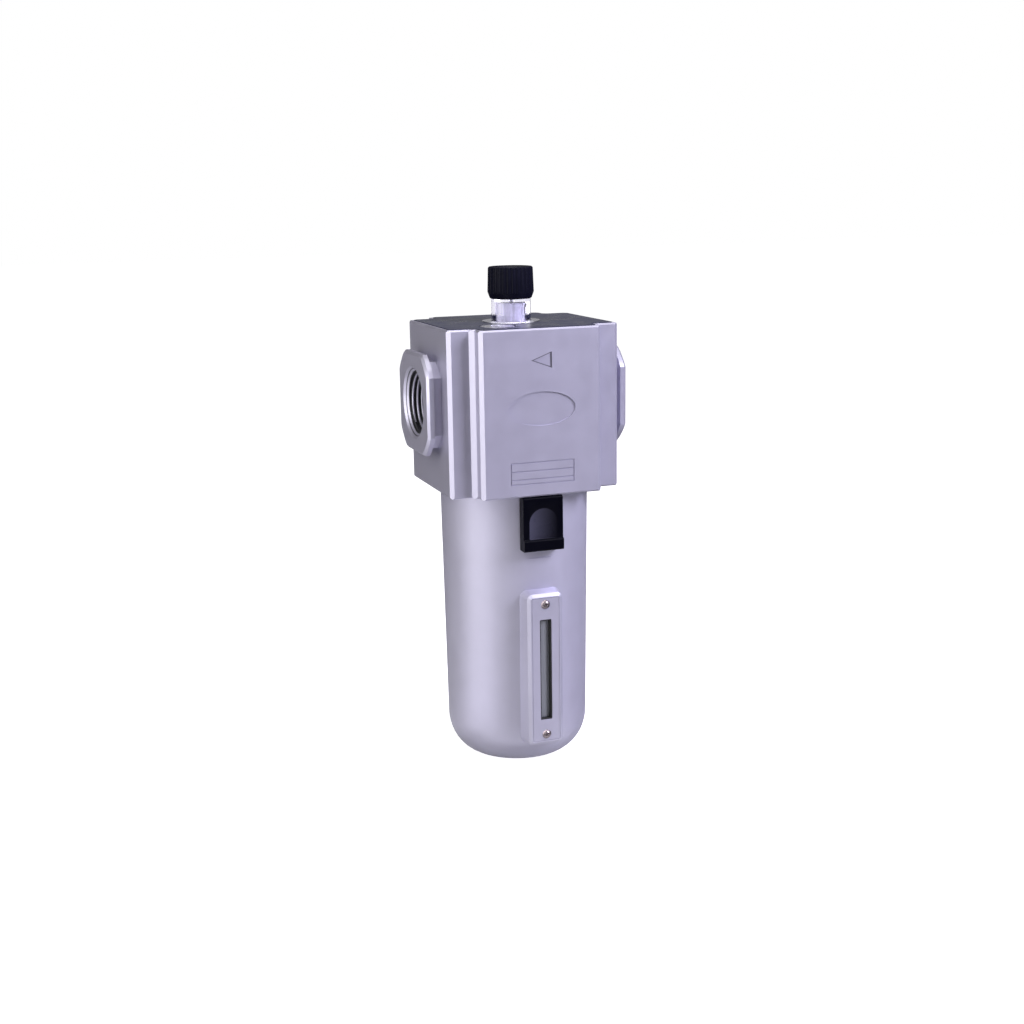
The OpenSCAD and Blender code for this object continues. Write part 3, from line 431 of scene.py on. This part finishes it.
def clear_plastic(name, color, rough, transmission):
    """Clear plastic with faint flow lines from the mould."""
    material, nodes, links, shader = new_material(name)
    vector = object_coordinates(nodes, links, FLOW_STRETCH)
    flow = noise(nodes, links, vector, FLOW_LINES, detail=2.0)
    set_inputs(shader, IOR=CLEAR_IOR, Transmission_Weight=transmission)
    shade_variation(nodes, links, shader, color, spread(nodes, links, flow, 0.0, 1.0), depth=0.03)
    rough_variation(nodes, links, shader, rough, flow, CLEAR_ROUGH_SPAN)
    bump(nodes, links, shader, [(flow, FLOW_LINES_DEPTH, 0.3)])
    return material


def round_edges(piece, width):
    """Gives a CAD node small round edges by modifiers; its own points and faces stay as they are."""
    mesh = piece.data
    if "custom_normal" in mesh.attributes:
        mesh.attributes.remove(mesh.attributes["custom_normal"])
    weld = piece.modifiers.new("weld", "WELD")
    weld.merge_threshold = WELD_GAP
    flat = piece.modifiers.new("flat", "DECIMATE")
    flat.decimate_type = "DISSOLVE"
    flat.angle_limit = math.radians(FLAT_ANGLE)
    edges = piece.modifiers.new("edges", "BEVEL")
    edges.width = width
    edges.segments = EDGE_SEGMENTS
    edges.limit_method = "ANGLE"
    edges.angle_limit = math.radians(EDGE_ANGLE)
    edges.use_clamp_overlap = True
    edges.harden_normals = True


def dress_node(node, material, width):
    """Gives a CAD node its material, smooth faces and, where the width isn't zero, small round edges."""
    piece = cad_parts[node]
    mesh = piece.data
    mesh.materials.clear()
    mesh.materials.append(material)
    if width:
        round_edges(piece, width)
    mesh.shade_smooth()


def add_object(name, data):
    """A new object in the scene."""
    item = bpy.data.objects.new(name, data)
    bpy.context.scene.collection.objects.link(item)
    return item


def mesh_object(name, corners, faces, material):
    """A new object of corners and faces in one material."""
    mesh = bpy.data.meshes.new(name)
    mesh.from_pydata(corners, [], faces)
    mesh.materials.append(material)
    return add_object(name, mesh)


def add_piece(name, corners, faces, material, body):
    """A piece of the looks that moves with a CAD body, in the material given."""
    piece = mesh_object(name, corners, faces, material)
    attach(piece, body)
    return piece


def sweep_faces(sides, steps, flip):
    """The faces between a sweep's sections and a cap at each end; flip turns them over."""
    faces = []
    for i in range(steps):
        a, b = sides * i, sides * (i + 1)
        for j in range(sides):
            k = (j + 1) % sides
            faces.append((a + j, b + j, b + k, a + k) if flip else (a + j, a + k, b + k, b + j))
    last = sides * steps
    caps = [tuple(range(sides - 1, -1, -1)), tuple(range(last, last + sides))]
    return faces + ([cap[::-1] for cap in caps] if flip else caps)


def port_thread(name, start, inward, material):
    """The ridge of a port's thread: a helix whose ends taper away into the bore."""
    turns = (THREAD_LENGTH - THREAD_FOOT) / THREAD_PITCH
    steps = int(turns * THREAD_STEPS)
    corners = []
    for i in range(steps + 1):
        share = min(i, steps - i, THREAD_TAPER) / THREAD_TAPER
        angle = math.radians(THREAD_START) + 2 * math.pi * i / THREAD_STEPS
        middle = THREAD_FOOT / 2 + THREAD_PITCH * i / THREAD_STEPS
        wall = THREAD_BORE_R + THREAD_SEAT
        crest = THREAD_BORE_R - THREAD_HEIGHT * share
        profile = [(-THREAD_FOOT / 2, wall), (-THREAD_CREST / 2, crest), (THREAD_CREST / 2, crest),
                   (THREAD_FOOT / 2, wall)]
        y, z = math.cos(angle), math.sin(angle)
        corners += [(start + inward * (middle + along), r * y, r * z) for along, r in profile]
    faces = sweep_faces(len(profile), steps, flip=inward < 0)
    add_piece(name, corners, faces, material, "housing")


def ring_faces(sides):
    """A closed ring's faces; its corners go round outside in front and behind, then inside likewise."""
    faces = []
    for first, second in ((1, 0), (2, 3), (0, 2), (3, 1)):
        for i in range(sides):
            j = (i + 1) % sides
            a, b = first * sides, second * sides
            faces.append((a + i, a + j, b + j, b + i))
    return faces


def window_shade_liner(material):
    """A black liner of painted shade in the gauge's slot, from the glass to just under the plate's face.
    """
    plate_low, plate_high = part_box("gauge_plate")
    middle = (plate_low + plate_high) / 2
    half_w, half_h = WINDOW_W / 2 - LINER_GAP, WINDOW_H / 2 - LINER_GAP
    front, back = plate_low.y + LINER_SET, plate_high.y - LINER_GAP
    corners = []
    for inset in (0, LINER_WALL):
        for y in (front, back):
            for x, z in ((-1, -1), (1, -1), (1, 1), (-1, 1)):
                corners.append((middle.x + x * (half_w - inset), y, middle.z + z * (half_h - inset)))
    add_piece("window_shade_liner", corners, ring_faces(4), material, "oil_bowl")


def arrow_shade_line(material):
    """A thin line of painted shade on the flow arrow's sunken floor, along its three sides."""
    front = body_low.y + ARROW_DEPTH
    tips = [(-ARROW_TIP, 0), (ARROW_TAIL, -ARROW_HALF), (ARROW_TAIL, ARROW_HALF)]
    sides = [math.dist(tips[1], tips[2]), math.dist(tips[2], tips[0]), math.dist(tips[0], tips[1])]
    middle = [sum(s * t[i] for s, t in zip(sides, tips)) / sum(sides) for i in (0, 1)]
    inradius = (ARROW_TIP + ARROW_TAIL) * 2 * ARROW_HALF / sum(sides)
    corners = []
    for inset in (LINE_GAP, LINE_GAP + LINE_W):
        share = 1 - inset / inradius
        for y in (front - LINE_T, front - LINE_GAP):
            for x, z in tips:
                corners.append((AXIS_X + middle[0] + (x - middle[0]) * share, y,
                                UNDERSIDE + ARROW_UP + middle[1] + (z - middle[1]) * share))
    add_piece("arrow_shade_line", corners, ring_faces(3), material, "housing")


def lock_coil(material):
    """The lock spring as a coil of wire, in place of its CAD node."""
    foot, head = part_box("lock_spring")
    middle = (foot + head) / 2
    height = head.z - foot.z
    steps = COIL_TURNS * COIL_STEPS
    corners = []
    for i in range(steps + 1):
        angle = 2 * math.pi * i / COIL_STEPS
        for j in range(WIRE_SIDES):
            around = 2 * math.pi * j / WIRE_SIDES
            out = COIL_R + WIRE_R * math.cos(around)
            corners.append((middle.x + out * math.cos(angle), middle.y + out * math.sin(angle),
                            foot.z + WIRE_R * (1 + math.sin(around)) + (height - 2 * WIRE_R) * i / steps))
    faces = sweep_faces(WIRE_SIDES, steps, flip=True)
    coil = add_piece("lock_coil", corners, faces, material, "oil_bowl")
    coil.data.shade_smooth()
    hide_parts("lock_spring")
    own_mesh(coil)


def dress_nodes():
    """Every CAD node that stays gets its finish, and the pieces of the looks are added."""
    silver = cast_silver("silver_cast", SILVER, port_shaded=True)
    bowl_silver = cast_silver("silver_bowl", BOWL_SILVER, rough=0.46)
    # The flow arrow's line of painted shade
    arrow_shade_paint = cast_silver("silver_arrow_shade", ARROW_SHADE)
    bright = turned_metal("bright_turned", BRIGHT, rough=0.25)
    steel = turned_metal("steel", STEEL, rough=0.3)
    nozzle = turned_metal("nozzle_steel", NOZZLE, rough=0.25)
    screw = turned_metal("screw_steel", SCREW, rough=0.22)
    bronze = turned_metal("sintered_bronze", BRONZE, rough=0.6)
    cover = moulded("cover_black", COVER, rough=0.3, sheen=0.2)
    # The button's black, with a painted highlight in its dish
    black = moulded("button_black", BLACK, rough=0.3, sheen=0.05, dish_highlight=True)
    grip = moulded("knob_black", KNOB, rough=0.35, sheen=0.05)
    white = moulded("core_white", WHITE, rough=0.4)
    rubber = moulded("rubber", RUBBER, rough=0.6)
    clear = clear_plastic("dome_clear", CLEAR, rough=0.04, transmission=1.0)
    smoke = clear_plastic("gauge_smoke", SMOKE, rough=0.15, transmission=0.3)
    nylon = clear_plastic("tube_nylon", NYLON, rough=0.35, transmission=0.6)
    # Each node's finish, and the width of its round edges in millimetres
    finishes = {
        "body": (silver, 0.35),
        "bowl": (bowl_silver, 0.25),
        "gauge_plate": (silver, 0.35),
        "top_cover": (cover, 0.12),
        "dome_ring": (bright, 0.1),
        "filler_plug": (bright, 0.15),
        "sight_dome": (clear, 0.1),
        "drip_core": (white, 0.1),
        "drip_nozzle": (nozzle, 0.05),
        "lock_button": (black, 0.25),
        "knob": (grip, 0.2),
        "needle": (steel, 0.05),
        "siphon_filter": (bronze, 0.1),
        "siphon_tube": (nylon, 0.05),
        "venturi_post": (white, 0.1),
        "flap_pin": (steel, 0.05),
        "check_ball": (steel, 0.0),
        "damper_flap": (rubber, 0.05),
        "dome_seal": (rubber, 0.0),
        "needle_seal": (rubber, 0.0),
        "filler_seal": (rubber, 0.0),
        "bowl_seal": (rubber, 0.0),
        "gauge_gasket": (rubber, 0.05),
        "gauge_glass": (smoke, 0.05),
        "upper_gauge_screw": (screw, 0.05),
        "lower_gauge_screw": (screw, 0.05),
    }
    for node, (material, width) in finishes.items():
        dress_node(node, material, width * MM)
    port_thread("inlet_thread", PORT_FACES[1] - PORT_MOUTH, -1, silver)
    port_thread("outlet_thread", PORT_FACES[0] + PORT_MOUTH, 1, silver)
    # A black liner painted as the shade round the gauge glass's edges
    window_shade_liner(rubber)
    # A line of painted shade in the flow arrow's sunken corners
    arrow_shade_line(arrow_shade_paint)
    lock_coil(steel)


def direction(azimuth, elevation):
    """The direction to an azimuth and an elevation in degrees; azimuth 0 is the front."""
    azimuth, elevation = math.radians(azimuth), math.radians(elevation)
    return Vector((math.sin(azimuth) * math.cos(elevation), -math.cos(azimuth) * math.cos(elevation),
                   math.sin(elevation)))


def view_axes():
    """The camera's right, up and back directions in the photograph."""
    azimuth, roll = math.radians(VIEW_AZIMUTH), math.radians(VIEW_ROLL)
    back = direction(VIEW_AZIMUTH, VIEW_ELEVATION)
    right = Vector((math.cos(azimuth), math.sin(azimuth), 0))
    up = back.cross(right)
    return (right * math.cos(roll) + up * math.sin(roll),
            up * math.cos(roll) - right * math.sin(roll), back)


def make_camera():
    """The camera that the photograph was taken with; returns the point that it looks at."""
    right, up, back = view_axes()
    data = bpy.data.cameras.new("camera")
    data.sensor_width = SENSOR
    data.lens = SENSOR * FOCAL_PIXELS / FRAME_PIXELS
    camera = add_object("camera", data)
    target = VIEW_TARGET + Vector((AXIS_X, 0, UNDERSIDE))
    turn = Matrix((right, up, back)).transposed().to_4x4()
    camera.matrix_world = Matrix.Translation(target + back * VIEW_DISTANCE) @ turn
    bpy.context.scene.camera = camera
    return target


def set_around(item, target, place):
    """Turns an item to face the target from an azimuth, an elevation and a distance."""
    azimuth, elevation, distance = place
    out = direction(azimuth, elevation)
    item.location = target + out * distance
    item.rotation_mode = "QUATERNION"
    item.rotation_quaternion = out.to_track_quat("Z", "Y")


def area_light(name, target, place, size, power, tint):
    """A soft rectangular lamp that faces the target."""
    data = bpy.data.lights.new(name, "AREA")
    data.shape = "RECTANGLE"
    data.size, data.size_y = size
    data.energy = power
    data.color = tint
    set_around(add_object(name, data), target, place)


def reflected_card(name, corners, faces, shade):
    """A card, dark or pale, that only reflections show, as on a photographer's table."""
    material, _, _, shader = new_material(name)
    set_inputs(shader, Base_Color=CARD, Roughness=1.0, Specular_IOR_Level=0.0,
               Emission_Color=(1, 1, 1), Emission_Strength=shade)
    card = mesh_object(name, corners, faces, material)
    card.visible_camera = False
    card.visible_transmission = False
    card.visible_diffuse = False
    card.visible_shadow = False
    return card


def table_card(name, target, inner, outer, fans, shade):
    """A card of one or more fans that lies just over the floor, round the object."""
    height = cad_low.z + CARD_LIFT
    corners, faces = [], []
    for first, last in fans:
        for azimuth in range(first, last + 1, CARD_STEP):
            x, y = math.sin(math.radians(azimuth)), -math.cos(math.radians(azimuth))
            corners += [(target.x + x * r, target.y + y * r, height) for r in (inner, outer)]
            if azimuth > first:
                n = len(corners)
                faces.append((n - 4, n - 3, n - 1, n - 2))
    reflected_card(name, corners, faces, shade)


def standing_card(name, target, place, size, shade):
    """A card that faces the target."""
    x, y = size[0] / 2, size[1] / 2
    card = reflected_card(name, [(-x, -y, 0), (x, -y, 0), (x, y, 0), (-x, y, 0)], [(0, 1, 2, 3)], shade)
    set_around(card, target, place)


def seen_directly(nodes, links):
    """One for camera, glossy and transmission rays, zero for the light that falls on surfaces."""
    path = nodes.new("ShaderNodeLightPath")
    total = path.outputs["Is Camera Ray"]
    for name in ("Is Glossy Ray", "Is Transmission Ray"):
        add = nodes.new("ShaderNodeMath")
        add.operation = "MAXIMUM"
        links.new(total, add.inputs[0])
        links.new(path.outputs[name], add.inputs[1])
        total = add.outputs[0]
    return total


def make_world():
    """White where it is seen, and a soft fill where it lights."""
    world = bpy.data.worlds.new("world")
    bpy.context.scene.world = world
    world.use_nodes = True
    nodes, links = world.node_tree.nodes, world.node_tree.links
    background = nodes["Background"]
    background.inputs["Color"].default_value = (1, 1, 1, 1)
    strength = nodes.new("ShaderNodeMapRange")
    strength.inputs["To Min"].default_value = FILL
    links.new(seen_directly(nodes, links), strength.inputs["Value"])
    links.new(strength.outputs["Result"], background.inputs["Strength"])


def floor_white():
    """Pale, a little darker near the object, and white far from it."""
    material, nodes, links, shader = new_material("floor_white")
    set_inputs(shader, Base_Color=FLOOR, Roughness=0.9, Specular_IOR_Level=0.0, Emission_Color=(1, 1, 1))
    distance = nodes.new("ShaderNodeVectorMath")
    distance.operation = "LENGTH"
    links.new(object_coordinates(nodes, links), distance.inputs[0])
    glow = nodes.new("ShaderNodeMapRange")
    glow.inputs["From Min"].default_value = GLOW_NEAR_R
    glow.inputs["From Max"].default_value = GLOW_FAR_R
    glow.inputs["To Min"].default_value = GLOW_NEAR
    glow.inputs["To Max"].default_value = GLOW_FAR
    links.new(distance.outputs["Value"], glow.inputs["Value"])
    strength = nodes.new("ShaderNodeMath")
    strength.operation = "MULTIPLY"
    links.new(seen_directly(nodes, links), strength.inputs[0])
    links.new(glow.outputs["Result"], strength.inputs[1])
    links.new(strength.outputs["Value"], shader.inputs["Emission Strength"])
    return material


def make_floor():
    """A pale floor under the bowl that fades into the white and keeps a faint shadow."""
    corners = [(x * FLOOR_HALF, y * FLOOR_HALF, 0) for x, y in ((-1, -1), (1, -1), (1, 1), (-1, 1))]
    floor = mesh_object("floor", corners, [(0, 1, 2, 3)], floor_white())
    floor.location = (AXIS_X, 0, cad_low.z)


def make_stage(target):
    """The world, the floor, the lamps and the cards."""
    make_world()
    make_floor()
    for name, (place, size, power, tint) in LAMPS.items():
        area_light(name, target, place, size, power, tint)
    for name, (inner, outer, fans, shade) in TABLE_CARDS.items():
        table_card(name, target, inner, outer, fans, shade)
    for name, (place, size, shade) in STANDING_CARDS.items():
        standing_card(name, target, place, size, shade)


make_stage(make_camera())
dress_nodes()

bpy.context.scene.view_settings.view_transform = "Standard"
